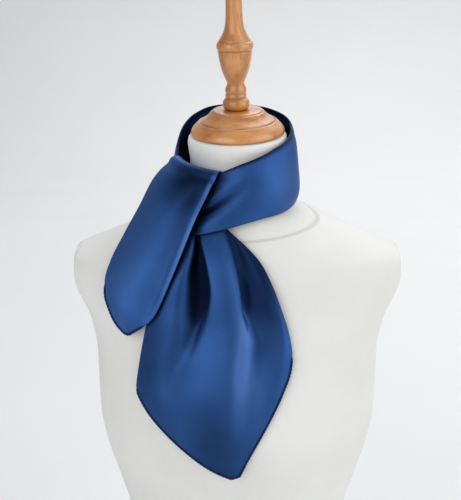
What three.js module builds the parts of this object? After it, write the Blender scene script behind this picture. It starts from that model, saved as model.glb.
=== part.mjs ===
// A silk square folded into a band and tied once round the neck of a limbless dress form.
// Millimetres. +Z is up, +X is the viewer's right and -Y is towards the viewer.
// The origin is the middle of the form's flat underside.

import * as THREE from "three";

const { lerp, inverseLerp, smoothstep, clamp, degToRad } = THREE.MathUtils;

// Driving sizes of the scarf
const BAND_WALL = 2.4; // the square's plies lying on each other round the neck
const TAIL_WALL = 1.8;
const TURNOVER_RADIUS = 7; // where the short tail rolls over the loop's top edge
const TURNOVER_INSIDE = 15; // how far it goes down again between the neck and the loop
const TURNOVER_SKEW = 0.2; // it rolls a little to the left as it comes forward

// Driving sizes of the dress form and its turned wood
const NECK_TOP = 648.5;
const NECK_LEAN = degToRad(6); // the neck's cut face slopes down to the front
const NECK_LEAN_LEFT = degToRad(1.5);
const CAP_SHIFT = 0.4; // the turned wood is not quite on the neck's axis
const FINIAL_SHIFT = -0.6;
const ARM_PLATE = 172; // half the distance between the two flat arm plates
const SEAT_GAP = 0.3; // between pieces that touch

const COLOURS = { silk: 0x24467f, linen: 0xe6e3dc, wood: 0xc98a52 };

const silk = new THREE.MeshStandardMaterial({ color: COLOURS.silk, roughness: 0.42, metalness: 0 });
const linen = new THREE.MeshStandardMaterial({ color: COLOURS.linen, roughness: 0.9, metalness: 0 });
const wood = new THREE.MeshStandardMaterial({ color: COLOURS.wood, roughness: 0.5, metalness: 0 });

// A table's columns by name; the first column is the one the others are looked up by
function table(names, rows) {
  const columns = names.split(" ").map((name, k) => [name, rows.map((row) => row[k])]);
  return { places: columns[0][1], columns: Object.fromEntries(columns) };
}

// Level sections of the form: half its width, its depths before and behind the neck's axis, its squareness
const BODY = table("z wide front back power", [
  [0, 166, 106, 116, 2.4],
  [45, 168, 107, 119, 2.4],
  [100, 157, 102, 110, 2.35],
  [150, 134, 94, 92, 2.3],
  [190, 121, 89, 82, 2.25],
  [228, 122, 93, 82, 2.25],
  [270, 132, 105, 88, 2.3],
  [315, 145, 120, 95, 2.3],
  [352, 151, 129, 99, 2.3],
  [385, 152, 127, 101, 2.3],
  [420, 153, 117, 103, 2.3],
  [455, 160, 106, 103, 2.3],
  [485, 174, 97, 101, 2.3],
  [508, 184, 90, 98, 2.3],
  [521, 185, 85, 95, 2.2],
  [530, 167, 81, 92, 2.1],
  [539, 145, 77, 90, 2.05],
  [551, 116, 71, 86, 2],
  [564, 88, 66, 81, 2],
  [576, 65, 61, 74, 2],
  [588, 58, 57.5, 66, 2],
  [602, 51.5, 55.5, 59, 2],
  [620, 49.8, 54.5, 53.5, 2],
  [643, 52.2, 56, 52.5, 2],
  [NECK_TOP, 50.6, 54.4, 51, 2],
]);

// The neck loop by its turn in degrees, 0 at the front and negative towards the viewer's left. It starts at
// the inner end under the knot, goes round the back and ends as the outer end that crosses the front.
// The radii are measured from the neck's axis at the band's top edge, its middle and its lower edge, and
// roll is how tightly the band curls over towards those edges.
const LOOP = table("turn topRadius swellRadius footRadius top foot roll", [
  [-49, 62, 64, 65.4, 613, 577, 2.6],
  [-62, 62.5, 65, 66, 617, 578, 2.6],
  [-76, 62.8, 66.5, 66, 622, 580, 2.6],
  [-90, 62.5, 67.5, 64.5, 633.5, 584, 2.6],
  [-105, 62.5, 67.5, 64.5, 646.5, 590, 2.6],
  [-120, 63, 68.5, 65.5, 656, 594, 2.6],
  [-135, 64, 69.5, 66.5, 663, 597.5, 2.6],
  [-157, 66.5, 72, 68, 669, 600, 2.8],
  [-180, 67.5, 73, 69.5, 670.5, 601, 3],
  [-205, 66, 72, 68, 668, 597, 3.4],
  [-225, 62.5, 70, 66, 664.5, 593, 4],
  [-250, 58.5, 65.4, 63.3, 659, 588, 5],
  [-270, 56.3, 62.9, 61.3, 652.5, 585.5, 5.5],
  [-285, 56.3, 65, 63, 648.5, 583.5, 5],
  [-300, 57.3, 69, 66.5, 644.5, 580, 4.2],
  [-320, 59.6, 72.5, 70, 639.5, 576, 3.2],
  [-340, 64, 74.5, 73, 633, 573.5, 2.8],
  [-355, 66.5, 75, 77, 627.5, 570, 2.6],
  [-368, 66, 75.5, 81, 621.2, 565.5, 2.6],
  [-374, 65.7, 75.8, 83.5, 618.2, 563.5, 2.6],
  [-380, 65.3, 76, 86, 613.5, 561.5, 2.6],
  [-386, 65, 76, 88, 610, 559.5, 2.6],
  [-393, 65.5, 76.5, 89.5, 607, 558, 2.6],
  [-401, 67, 75.5, 85.5, 603, 562.5, 2.6],
  [-410, 69, 72.5, 77, 599, 570, 2.6],
]);

// Soft fold across the loop's front end, fanning out from the knot
const TENSION_FOLD = {
  depth: 2.6,
  knotTurn: -392,
  farTurn: -338,
  knotRise: 0.36,
  farRise: 0.66,
  spread: 0.12,
};

// The short tail's two edges from the turnover's outer foot to the corner, how far it bows out between
// them, and the depth of the soft valley that runs beside its right edge
const SHORT_TAIL = table("down leftX leftY leftZ rightX rightY rightZ crown valley", [
  [0, -71, -17, 620.5, -22.8, -68.2, 612.5, 10, 0],
  [9, -78.5, -22, 615, -26, -70.6, 608, 9.6, 0.2],
  [20, -87.5, -29, 604.5, -30.4, -73.8, 599.4, 9.2, 0.8],
  [46, -100, -41, 581, -41.5, -84.5, 578.5, 9, 1.8],
  [76, -116, -54, 553, -54, -92.5, 549, 7.5, 2.6],
  [104, -129.5, -66, 527, -66.5, -100, 519, 6.5, 3],
  [128, -134.5, -74, 509.5, -78.5, -103, 491.5, 5.5, 2.6],
  [142, -134.5, -79, 498, -84.5, -103.5, 480, 5, 1.6],
  [158, -129, -86, 480.5, -93, -102.5, 471.5, 3.5, 0.5],
  [170, -122, -92, 468.5, -102, -100, 465.5, 1.5, 0],
  [178, -113.5, -96, 460.5, -109.5, -98, 460, 0, 0],
]);
const VALLEY = { middle: 0.76, spread: 0.13 };

// The long tail's edges from its root behind the crossing band to the corner, and how far it lies off
// the form
const LONG_TAIL = table("down leftX leftZ rightX rightZ lift", [
  [0, -43, 598, -14, 600, 5],
  [20, -45, 580, -13.5, 582, 6],
  [38, -51.5, 562, -13, 566, 6.5],
  [50, -60, 551, -4.5, 557, 5.5],
  [62, -66, 541, 7, 547, 4.5],
  [80, -75.3, 524, 22.5, 531, 4],
  [100, -82.5, 505, 34, 510, 3.6],
  [124, -88.8, 481, 43, 487, 2.8],
  [152, -95.3, 451.5, 50.5, 463.5, 1.8],
  [176, -100, 425, 53.8, 443, 1.5],
  [193, -102.5, 405.5, 52.3, 428, 1.5],
  [215, -93, 385.5, 44, 406, 1.5],
  [240, -76.5, 366.5, 32.2, 382, 1.5],
  [263, -54.5, 346.5, 20, 358, 1.5],
  [284, -29.5, 328, 9.7, 338, 1.5],
  [294, -16, 321, 5, 327.5, 1.5],
  [299, -6.5, 317.2, 1.6, 320, 1.5],
]);

// Where the lines of the long tail's folds run, as x: the swell on the left, the floor of the deep fold,
// the raised pleat's left edge, crown and right edge, and the recess beside it
const FOLD_LINES = table("down swell floor pleatLeft crown pleatRight recess", [
  [0, -39, -36, -33, -27, -21, -18.5],
  [20, -42, -39, -37, -27, -18.5, -16.5],
  [38, -45, -42, -39.5, -26, -17, -14.8],
  [50, -46, -40, -37, -24, -11, -7.5],
  [62, -48, -37, -32.5, -20, -6.5, -2.5],
  [80, -51.5, -35, -29, -17, -2.5, 2],
  [100, -55, -33, -26.5, -14.5, 1.5, 6.5],
  [124, -62, -36, -29.5, -13, 6, 10.5],
  [152, -61, -42, -33, -15.5, 6, 19],
  [176, -57, -36, -27, -14, 6.5, 28],
  [193, -56, -32, -24, -12, 7, 29],
  [240, -48, -29, -17, -5, 8, 20],
  [284, -20, -14, -7, -2, 3, 6],
  [299, -5, -4.2, -3.4, -2.4, -1.2, -0.2],
]);

// How far each line stands before the plain sheet
const FOLD_HEIGHTS = table("down left swell floor pleatLeft crown pleatRight recess right", [
  [0, 0, 0, 0, 0.6, 1, 0.6, 0, 0],
  [20, 0, 0.5, 0, 1.2, 1.5, 1, 0, 0],
  [38, 0.5, 2.5, -0.5, 2.5, 4, 4, 0.8, 0.8],
  [50, 1, 6, -2, 8, 8.5, 8, 0.5, 1],
  [62, 1, 8.5, -2, 11.5, 13, 11, 0, 1.5],
  [80, 1.5, 10.5, -2.5, 13.5, 15.5, 12.5, -0.5, 2.5],
  [100, 2, 10.5, -2, 13.5, 16, 12.5, 0, 3.5],
  [124, 2.5, 10, -0.5, 10.5, 15.5, 10.5, 0.5, 4.5],
  [152, 2.5, 10, 2.5, 7, 14, 9.5, 2, 4.5],
  [176, 2.5, 9.5, 4, 7, 12.5, 9, 3.5, 4],
  [193, 2.2, 9, 4, 6.5, 11.5, 8.5, 3.5, 3.5],
  [240, 1.5, 6, 2, 3.6, 7.5, 6, 3, 2.5],
  [284, 1, 2, 1.2, 1.6, 3, 2.2, 1.6, 1.4],
  [299, 1, 1, 1, 1, 1.2, 1, 1, 1],
]);

// The turned wood as radius and height above the neck's cut face
const CAP_PROFILE = [
  [0, SEAT_GAP], [46.6, SEAT_GAP], [48.7, 0.9], [49.4, 2.6], [49, 5], [46.8, 8.6], [43.2, 12],
  [40.5, 14.2], [39.3, 14], [38.6, 15.2], [34, 17.6], [30.6, 20.4], [28.4, 23.2], [26.4, 25.2],
  [23.6, 26.1], [0, 26.1],
];
const FINIAL_BASE = 26.1 + SEAT_GAP;
const FINIAL_PROFILE = [
  [0, FINIAL_BASE], [11.6, FINIAL_BASE], [13.5, 28.3], [14.2, 31.8], [13.6, 35.4], [11.8, 37.5],
  [10.4, 38.4], [11.3, 40.8], [10.4, 43.3], [11.3, 46.2], [10.5, 49.2], [9, 52], [9, 54.2],
  [11.5, 60.3], [14, 66.6], [16.3, 76], [17.7, 86], [17.4, 88.2], [18.7, 89.3], [19.2, 92.5],
  [18, 95.9], [14.4, 100.9], [11.4, 106.1], [9.5, 112.5], [8.6, 122], [8.3, 137.5], [8.2, 146],
  [7, 149.4], [3.9, 151.4], [0, 151.8],
];

// Smooth value at a place between known ones, without overshooting them
function between(places, values, at) {
  const last = places.length - 1;
  const rising = places[last] > places[0];
  let i = 0;
  while (i < last - 1 && (rising ? at > places[i + 1] : at < places[i + 1])) i += 1;
  const slope = (k) => (values[k + 1] - values[k]) / (places[k + 1] - places[k]);
  const tangent = (k) => {
    if (k === 0 || k === last) return slope(i);
    const [before, after] = [slope(k - 1), slope(k)];
    return before * after <= 0 ? 0 : (2 * before * after) / (before + after);
  };
  const span = places[i + 1] - places[i];
  const t = clamp((at - places[i]) / span, 0, 1);
  const blend = t * t * (3 - 2 * t);
  const leaving = t * (1 - t) * (1 - t) * span * tangent(i);
  const arriving = t * t * (t - 1) * span * tangent(i + 1);
  return (1 - blend) * values[i] + blend * values[i + 1] + leaving + arriving;
}

const lookUp = (rows, name, at) => between(rows.places, rows.columns[name], at);

// Indexed geometry with its faces turned outwards
function solid(positions, index) {
  const corner = (k) => new THREE.Vector3().fromArray(positions, index[k] * 3);
  let volume = 0;
  for (let k = 0; k < index.length; k += 3) volume += corner(k).dot(corner(k + 1).cross(corner(k + 2)));
  const geometry = new THREE.BufferGeometry();
  geometry.setAttribute("position", new THREE.Float32BufferAttribute(positions, 3));
  geometry.setIndex(volume > 0 ? index : index.toReversed());
  geometry.computeVertexNormals();
  return geometry;
}

// Closed solid through rings of points that run the same way round, with a flat fan at each end
function lofted(rings) {
  const count = rings[0].length;
  const positions = rings.flat().flatMap((p) => [p.x, p.y, p.z]);
  const index = [];
  for (let j = 0; j < rings.length - 1; j += 1) {
    for (let i = 0; i < count; i += 1) {
      const a = j * count + i;
      const b = j * count + ((i + 1) % count);
      index.push(a, b, a + count, b, b + count, a + count);
    }
  }
  const ends = [[rings[0], 0, true], [rings.at(-1), (rings.length - 1) * count, false]];
  for (const [ring, first, isFirst] of ends) {
    const centre = ring.reduce((sum, p) => sum.add(p), new THREE.Vector3()).divideScalar(count);
    const hub = positions.length / 3;
    positions.push(centre.x, centre.y, centre.z);
    for (let i = 0; i < count; i += 1) {
      const next = (i + 1) % count;
      if (isFirst) index.push(hub, first + next, first + i);
      else index.push(hub, first + i, first + next);
    }
  }
  return solid(positions, index);
}

// Cloth of one thickness round a middle surface at(u, v), with an edge strip all round it
function clothWall({ across, along, wall, at }) {
  const half = wall / 2;
  const grid = [];
  for (let j = 0; j <= along; j += 1) {
    grid.push(Array.from({ length: across + 1 }, (_, i) => at(i / across, j / along)));
  }
  const point = (i, j) => grid[clamp(j, 0, along)][clamp(i, 0, across)].clone();
  const sideways = (i, j) => point(i + 1, j).sub(point(i - 1, j)).normalize();
  const downwards = (i, j) => point(i, j + 1).sub(point(i, j - 1)).normalize();
  const positions = [];
  const put = (p) => positions.push(p.x, p.y, p.z) / 3 - 1;
  const loops = grid.map((row, j) => {
    const face = (side) => row.map((p, i) => {
      const normal = downwards(i, j).cross(sideways(i, j)).normalize();
      return put(p.clone().addScaledVector(normal, side * half));
    });
    const edge = (i, side) => put(row[i].clone().addScaledVector(sideways(i, j), side * half));
    return { outer: face(1), right: edge(across, 1), inner: face(-1), left: edge(0, -1) };
  });
  const index = [];
  const ring = ({ outer, right, inner, left }) => [...outer, right, ...inner.toReversed(), left];
  for (let j = 0; j < along; j += 1) {
    const upper = ring(loops[j]);
    const lower = ring(loops[j + 1]);
    upper.forEach((a, i) => {
      const next = (i + 1) % upper.length;
      index.push(a, lower[i], upper[next], upper[next], lower[i], lower[next]);
    });
  }
  for (const [j, side] of [[0, -1], [along, 1]]) {
    const end = grid[j].map((p, i) => put(p.clone().addScaledVector(downwards(i, j), side * half)));
    const { outer, right, inner, left } = loops[j];
    const face = (a, b, c) => (side > 0 ? index.push(a, b, c) : index.push(a, c, b));
    for (let i = 0; i < across; i += 1) {
      face(outer[i], end[i], outer[i + 1]);
      face(outer[i + 1], end[i], end[i + 1]);
      face(end[i], inner[i], end[i + 1]);
      face(end[i + 1], inner[i], inner[i + 1]);
    }
    face(left, inner[0], end[0]);
    face(left, end[0], outer[0]);
    face(right, outer[across], end[across]);
    face(right, end[across], inner[across]);
  }
  return solid(positions, index);
}

// Half width, depths and squareness of the form at a height
function bodySection(z) {
  const value = (name) => lookUp(BODY, name, z);
  return { wide: value("wide"), front: value("front"), back: value("back"), power: value("power") };
}

// Depth of the form's front surface before the neck's axis
function chestDepth(x, z) {
  const { wide, front, power } = bodySection(z);
  return front * (1 - Math.min(1, Math.abs(x) / wide) ** power) ** (1 / power);
}

// The form, with its sides cut flat at the arm plates and the neck cut on a slope
function formTorso() {
  const around = 52;
  const levels = BODY.places.flatMap((z, i) => {
    const next = BODY.places[i + 1] ?? z;
    return next - z > 20 ? [z, (z + next) / 2] : [z];
  });
  const rings = levels.map((z) => {
    const { wide, front, back, power } = bodySection(z);
    const slope = smoothstep(z, 602, NECK_TOP);
    return Array.from({ length: around }, (_, i) => {
      const angle = (2 * Math.PI * i) / around;
      const bent = (value) => Math.sign(value) * Math.abs(value) ** (2 / power);
      const x = wide * bent(Math.sin(angle));
      const y = -(Math.cos(angle) > 0 ? front : back) * bent(Math.cos(angle));
      const rise = y * Math.tan(NECK_LEAN) + (x * Math.tan(NECK_LEAN_LEFT)) / Math.cos(NECK_LEAN);
      return new THREE.Vector3(clamp(x, -ARM_PLATE, ARM_PLATE), y, z + slope * rise);
    });
  });
  return lofted(rings);
}

// Turned wood standing upright on its axis
function turned(profile) {
  const points = profile.map(([radius, height]) => new THREE.Vector2(radius, height));
  return new THREE.LatheGeometry(points, 36).rotateX(Math.PI / 2);
}

// Point on the neck loop at a turn, from its lower edge at 0 to its top edge at 1
function loopPoint(turn, rise) {
  const value = (name) => lookUp(LOOP, name, turn);
  const chord = lerp(value("footRadius"), value("topRadius"), rise);
  const middle = (value("footRadius") + value("topRadius")) / 2;
  const bow = 1 - Math.abs(2 * rise - 1) ** value("roll");
  const along = clamp(inverseLerp(TENSION_FOLD.knotTurn, TENSION_FOLD.farTurn, turn), 0, 1);
  const foldRise = lerp(TENSION_FOLD.knotRise, TENSION_FOLD.farRise, along);
  const fading = smoothstep(1 - along, 0, 0.8);
  const fold = TENSION_FOLD.depth * fading * Math.exp(-(((rise - foldRise) / TENSION_FOLD.spread) ** 2));
  const radius = chord + (value("swellRadius") - middle) * bow - fold;
  const angle = degToRad(turn);
  const z = lerp(value("foot"), value("top"), rise);
  return new THREE.Vector3(radius * Math.sin(angle), -radius * Math.cos(angle), z);
}

function neckLoop() {
  const first = LOOP.places[0];
  const last = LOOP.places.at(-1);
  return clothWall({
    across: 9,
    along: 76,
    wall: BAND_WALL,
    at: (u, v) => loopPoint(lerp(first, last, v), u),
  });
}

// Point on the short tail; below 0, down runs back over the turnover and between the neck and the loop
function shortTailPoint(u, down) {
  const value = (name) => lookUp(SHORT_TAIL, name, Math.max(down, 0));
  const left = new THREE.Vector3(value("leftX"), value("leftY"), value("leftZ"));
  const right = new THREE.Vector3(value("rightX"), value("rightY"), value("rightZ"));
  const chord = right.clone().sub(left);
  const outward = new THREE.Vector3(chord.y, -chord.x, 0).normalize();
  const valley = value("valley") * Math.exp(-(((u - VALLEY.middle) / VALLEY.spread) ** 2));
  const point = left.lerp(right, u).addScaledVector(outward, value("crown") * 4 * u * (1 - u) - valley);
  if (down >= 0) return point;
  const radial = point.clone().setZ(0).normalize();
  const sideways = new THREE.Vector3(-radial.y, radial.x, 0);
  const angle = Math.min(-down / TURNOVER_RADIUS, Math.PI);
  const straight = Math.max(-down - Math.PI * TURNOVER_RADIUS, 0);
  point.addScaledVector(sideways, TURNOVER_SKEW * angle * TURNOVER_RADIUS);
  point.addScaledVector(radial, TURNOVER_RADIUS * (Math.cos(angle) - 1));
  return point.setZ(point.z + TURNOVER_RADIUS * Math.sin(angle) - straight);
}

function shortTail() {
  const start = -(Math.PI * TURNOVER_RADIUS + TURNOVER_INSIDE);
  const end = SHORT_TAIL.places.at(-1);
  const rolled = 0.36; // share of the rows before the turnover's outer foot
  const place = (v) => (v < rolled ? start * (1 - v / rolled) : (end * (v - rolled)) / (1 - rolled));
  return clothWall({
    across: 14,
    along: 36,
    wall: TAIL_WALL,
    at: (u, v) => shortTailPoint(u, place(v)),
  });
}

// Point on the long tail at a share of its lines across and a distance down
function longTailPoint(u, down) {
  const edge = (name) => lookUp(LONG_TAIL, name, down);
  const folds = ["swell", "floor", "pleatLeft", "crown", "pleatRight", "recess"];
  const lines = folds.map((name) => lookUp(FOLD_LINES, name, down));
  const heights = ["left", ...folds, "right"].map((name) => lookUp(FOLD_HEIGHTS, name, down));
  const places = heights.map((_, k) => k / (heights.length - 1));
  const x = between(places, [edge("leftX"), ...lines, edge("rightX")], u);
  const z = lerp(edge("leftZ"), edge("rightZ"), inverseLerp(edge("leftX"), edge("rightX"), x));
  const hang = chestDepth(x, clamp(z, 372, 585));
  return new THREE.Vector3(x, -(hang + edge("lift") + between(places, heights, u)), z);
}

function longTail() {
  const end = LONG_TAIL.places.at(-1);
  return clothWall({
    across: 28,
    along: 32,
    wall: TAIL_WALL,
    at: (u, v) => longTailPoint(u, end * v),
  });
}

const part = new THREE.Group();

function add(name, geometry, material, parent = part) {
  const mesh = new THREE.Mesh(geometry, material);
  mesh.name = name;
  parent.add(mesh);
}

add("form_torso", formTorso(), linen);
const woodwork = new THREE.Group();
woodwork.position.z = NECK_TOP;
woodwork.rotation.set(NECK_LEAN, -NECK_LEAN_LEFT, 0);
part.add(woodwork);
add("form_neck_cap", turned(CAP_PROFILE).translate(CAP_SHIFT, 0, 0), wood, woodwork);
add("form_finial", turned(FINIAL_PROFILE).translate(FINIAL_SHIFT, 0, 0), wood, woodwork);
add("scarf_neck_loop", neckLoop(), silk);
add("scarf_short_tail", shortTail(), silk);
add("scarf_long_tail", longTail(), silk);

export default part;
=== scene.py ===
"""Looks of a silk square tied once round the neck of a limbless dress form.

The shapes are worked out in millimetres and become metres in make_mesh.
+Z is up, +X is the viewer's right and -Y is towards the viewer.
"""

import math

import bpy
import numpy as np
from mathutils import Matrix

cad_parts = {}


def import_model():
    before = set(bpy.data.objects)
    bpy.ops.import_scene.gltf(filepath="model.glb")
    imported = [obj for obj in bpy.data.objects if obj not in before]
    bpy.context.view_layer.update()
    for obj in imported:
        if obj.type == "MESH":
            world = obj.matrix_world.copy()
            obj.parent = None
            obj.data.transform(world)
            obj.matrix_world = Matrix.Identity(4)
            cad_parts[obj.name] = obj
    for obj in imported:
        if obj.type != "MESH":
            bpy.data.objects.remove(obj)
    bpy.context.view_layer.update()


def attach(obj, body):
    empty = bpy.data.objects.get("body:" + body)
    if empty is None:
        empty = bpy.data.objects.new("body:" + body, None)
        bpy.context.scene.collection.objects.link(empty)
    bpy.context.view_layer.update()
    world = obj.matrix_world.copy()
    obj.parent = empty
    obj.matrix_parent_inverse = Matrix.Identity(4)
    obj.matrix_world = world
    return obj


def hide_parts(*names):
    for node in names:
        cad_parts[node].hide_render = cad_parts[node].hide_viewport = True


MM = 0.001

# The scarf: half the thickness of its cloth, its folded edges and its turnover
BAND_HALF = 0.95
TAIL_HALF = 0.6
FOLD_ROLL = 0.15  # how much fuller a folded edge is
FOLD_ROLL_WIDTH = 2.4
TURNOVER_RADIUS = 7
TURNOVER_INSIDE = 15  # how far the cloth goes on down inside the loop
TURNOVER_SKEW = 0.2  # how far it runs sideways for each millimetre over the top

# Its hem: the turned-in cloth, the groove that the stitches pull into it, and the roll at the very edge
HEM_WIDTH = 4.6
HEM_FULLNESS = 0.22
HEM_GROOVE = 0.2
HEM_EDGE_FULLNESS = 0.1
HEM_ROLL_RADIUS = 1.55
HEM_ROLL_LIFT = 0.3
HEM_ROLL_STEP = 1.2
HEM_PUCKER = 0.12
HEM_START = 2  # how far on each side of its corner a hem swells from nothing to full
STITCH_PITCH = 3.1
STITCH_LENGTH = 1.7
STITCH_RADIUS = 0.17
STITCH_MARGIN = 2.5  # free of stitches at the ends of a hem

# Where the lines of a tail's sheet run, by their distance from its edge, and which of them carry the stitches
# on the left and on the right
EDGE_LINES = (0, 0.5, 1, 1.6, 2.3, 3, 3.6, 4.1, 4.5, 4.9, 5.4, 6.2, 7.4, 9)
STITCH_COLUMNS = (7, -8)
# Painted shade on the side of a tail that is turned away
INSIDE_SHADE = 0.6  # of a tail's side that is turned away

# The dress form and its turned wood
NECK_TOP = 648.5
NECK_FOOT = 602
NECK_LEAN = math.radians(6)  # towards the viewer
NECK_LEAN_LEFT = math.radians(1.5)
CAP_SHIFT = 0.4
FINIAL_SHIFT = -0.6
ARM_PLATE = 172
ARM_PLATE_EDGE = 0.8
CHEST_HEIGHTS = (372, 585)  # between which the long tail follows the form's front
SEAT_GAP = 0.3
WOOD_TOP = 26.1  # of the cap


def table(names, rows):
    """Columns by name; the first is the one the others are looked up by."""
    return dict(zip(names.split(), np.array(rows, dtype=float).T))


# Level sections of the form: half its width, its depths before and behind the neck's axis, its squareness
BODY = table("z wide front back power", [
    (0, 166, 106, 116, 2.4),
    (45, 168, 107, 119, 2.4),
    (100, 157, 102, 110, 2.35),
    (150, 134, 94, 92, 2.3),
    (190, 121, 89, 82, 2.25),
    (228, 122, 93, 82, 2.25),
    (270, 132, 105, 88, 2.3),
    (315, 145, 120, 95, 2.3),
    (352, 151, 129, 99, 2.3),
    (385, 152, 127, 101, 2.3),
    (420, 153, 117, 103, 2.3),
    (455, 160, 106, 103, 2.3),
    (485, 174, 97, 101, 2.3),
    (508, 184, 90, 98, 2.3),
    (521, 185, 85, 95, 2.2),
    (530, 167, 81, 92, 2.1),
    (539, 145, 77, 90, 2.05),
    (551, 116, 71, 86, 2),
    (564, 88, 66, 81, 2),
    (576, 65, 61, 74, 2),
    (588, 58, 57.5, 66, 2),
    (602, 51.5, 55.5, 59, 2),
    (620, 49.8, 54.5, 53.5, 2),
    (643, 52.2, 56, 52.5, 2),
    (NECK_TOP, 50.6, 54.4, 51, 2),
])

# The neck loop by its turn in degrees, 0 at the front and negative towards the viewer's left, from the inner
# end under the knot round the back to the outer end that crosses the front. Its radii are at the band's top
# edge, its middle and its lower edge, and roll is how tightly it curls over towards its edges.
LOOP = table("turn topRadius swellRadius footRadius top foot roll", [
    (-49, 62, 64, 65.4, 613, 577, 2.6),
    (-62, 62.5, 65, 66, 617, 578, 2.6),
    (-76, 62.8, 66.5, 66, 622, 580, 2.6),
    (-90, 62.5, 67.5, 64.5, 633.5, 584, 2.6),
    (-105, 62.5, 67.5, 64.5, 646.5, 590, 2.6),
    (-120, 63, 68.5, 65.5, 656, 594, 2.6),
    (-135, 64, 69.5, 66.5, 663, 597.5, 2.6),
    (-157, 66.5, 72, 68, 669, 600, 2.8),
    (-180, 67.5, 73, 69.5, 670.5, 601, 3),
    (-205, 66, 72, 68, 668, 597, 3.4),
    (-225, 62.5, 70, 66, 664.5, 593, 4),
    (-250, 58.5, 65.4, 63.3, 659, 588, 5),
    (-270, 56.3, 62.9, 61.3, 652.5, 585.5, 5.5),
    (-285, 56.3, 65, 63, 648.5, 583.5, 5),
    (-300, 57.3, 69, 66.5, 644.5, 580, 4.2),
    (-320, 59.6, 72.5, 70, 639.5, 576, 3.2),
    (-340, 64, 74.5, 73, 633, 573.5, 2.8),
    (-355, 66.5, 75, 77, 627.5, 570, 2.6),
    (-368, 66, 75.5, 81, 621.2, 565.5, 2.6),
    (-374, 65.7, 75.8, 83.5, 618.2, 563.5, 2.6),
    (-380, 65.3, 76, 86, 613.5, 561.5, 2.6),
    (-386, 65, 76, 88, 610, 559.5, 2.6),
    (-393, 65.5, 76.5, 89.5, 607, 558, 2.6),
    (-401, 67, 75.5, 85.5, 603, 562.5, 2.6),
    (-410, 69, 72.5, 77, 599, 570, 2.6),
])
LOOP_ARC = 1.22  # millimetres along the band for each degree of turn
LOOP_HEIGHT = 56
LOOP_EDGE_LINES = (0, 0.5, 1, 1.7, 2.6, 4)

# Soft ridges (+) and troughs (-) of the band: from a turn and a rise to others, their height and spread
LOOP_FOLDS = [
    (-399, 0.28, -342, 0.68, -3.4, 7.5),
    (-392, 0.56, -340, 0.86, 0.9, 5),
    (-396, 0.16, -352, 0.3, 0.8, 5),
    (-372, 0.2, -318, 0.46, -0.5, 5),
    (-330, 0.95, -300, 0.2, -0.6, 9),
    (-300, 0.95, -282, 0.1, 0.5, 8),
    (-268, 0.9, -232, 0.35, -0.9, 7),
    (-226, 0.75, -180, 0.5, 0.8, 8),
    (-196, 0.2, -150, 0.6, -0.9, 7),
    (-168, 0.85, -118, 0.6, -0.7, 6),
    (-132, 0.3, -92, 0.5, 0.8, 6),
]

# The short tail's edges from the turnover's outer foot to the tip, how far it bows out between them, and the
# depth of the soft valley beside its right edge
SHORT_TAIL = table("down leftX leftY leftZ rightX rightY rightZ crown valley", [
    (0, -71, -17, 620.5, -22.8, -68.2, 612.5, 10, 0),
    (9, -78.5, -22, 615, -26, -70.6, 608, 9.6, 0.2),
    (20, -87.5, -29, 604.5, -30.4, -73.8, 599.4, 9.2, 0.8),
    (46, -100, -41, 581, -41.5, -84.5, 578.5, 9, 1.8),
    (76, -116, -54, 553, -54, -92.5, 549, 7.5, 2.6),
    (104, -129.5, -66, 527, -66.5, -100, 519, 6.5, 3),
    (128, -134.5, -74, 509.5, -78.5, -103, 491.5, 5.5, 2.6),
    (142, -134.5, -79, 498, -84.5, -103.5, 480, 5, 1.6),
    (158, -129, -86, 480.5, -93, -102.5, 471.5, 3.5, 0.5),
    (170, -122, -92, 468.5, -102, -100, 465.5, 1.5, 0),
    (178, -113.5, -96, 460.5, -109.5, -98, 460, 0, 0),
])
# That valley's middle and its spread on each side, as shares of the tail's width
VALLEY_MIDDLE = 0.86
VALLEY_LEFT, VALLEY_RIGHT = 0.22, 0.1
# The painted shade of the valley and of the cloth below the turnover, and the painted highlight on the edge
# beside them
SHORT_TAIL_TONES = table("down valley crest lit", [
    (-24, 0, 0.2, 0),
    (-10, 0.1, 0.45, 0),
    (-3, 0.35, 0.78, 0.1),
    (4, 0.6, 0.86, 0.2),
    (10, 0.8, 0.88, 0.45),
    (22, 0.85, 0.72, 0.9),
    (46, 0.62, 0.16, 1),
    (76, 0.42, 0.03, 0.9),
    (104, 0.26, 0, 0.6),
    (140, 0.08, 0, 0.1),
    (178, 0, 0, 0),
])
# Where its hem starts on the left and on the right: the thicker cloth by its distance down, and the stitches
# and the roll by their height
SHORT_TAIL_CORNERS = (126, 150)
SHORT_TAIL_HEM_TOPS = (508, 474)

# The long tail's edges from its root behind the crossing band to the tip, and how far it lies off the form
LONG_TAIL = table("down leftX leftZ rightX rightZ lift", [
    (0, -43, 598, -14, 600, 5),
    (20, -45, 580, -13.5, 582, 6),
    (38, -51.5, 562, -13, 566, 6.5),
    (50, -60, 551, -4.5, 557, 5.5),
    (62, -66, 541, 7, 547, 4.5),
    (80, -75.3, 524, 22.5, 531, 4),
    (100, -82.5, 505, 34, 510, 3.6),
    (124, -88.8, 481, 43, 487, 2.8),
    (152, -95.3, 451.5, 50.5, 463.5, 1.8),
    (176, -100, 425, 53.8, 443, 1.5),
    (193, -102.5, 405.5, 52.3, 428, 1.5),
    (215, -93, 385.5, 44, 406, 1.5),
    (240, -76.5, 366.5, 32.2, 382, 1.5),
    (263, -54.5, 346.5, 20, 358, 1.5),
    (284, -29.5, 328, 9.7, 338, 1.5),
    (294, -16, 321, 5, 327.5, 1.5),
    (299, -6.5, 317.2, 1.6, 320, 1.5),
])
# Where its hem starts, in the same way
LONG_TAIL_CORNERS = (190, 172)
LONG_TAIL_HEM_TOPS = (407, 444)
LONG_TAIL_HEM_SCALE = 1.25  # it is wider than the short tail's
# The painted shade of the long tail's folds, by how deep each point lies between higher cloth
FOLD_REACH = 26  # how far to each side the cloth that darkens a fold may stand
FOLD_DARK = 6.5  # the depth at which a fold is darkest

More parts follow.
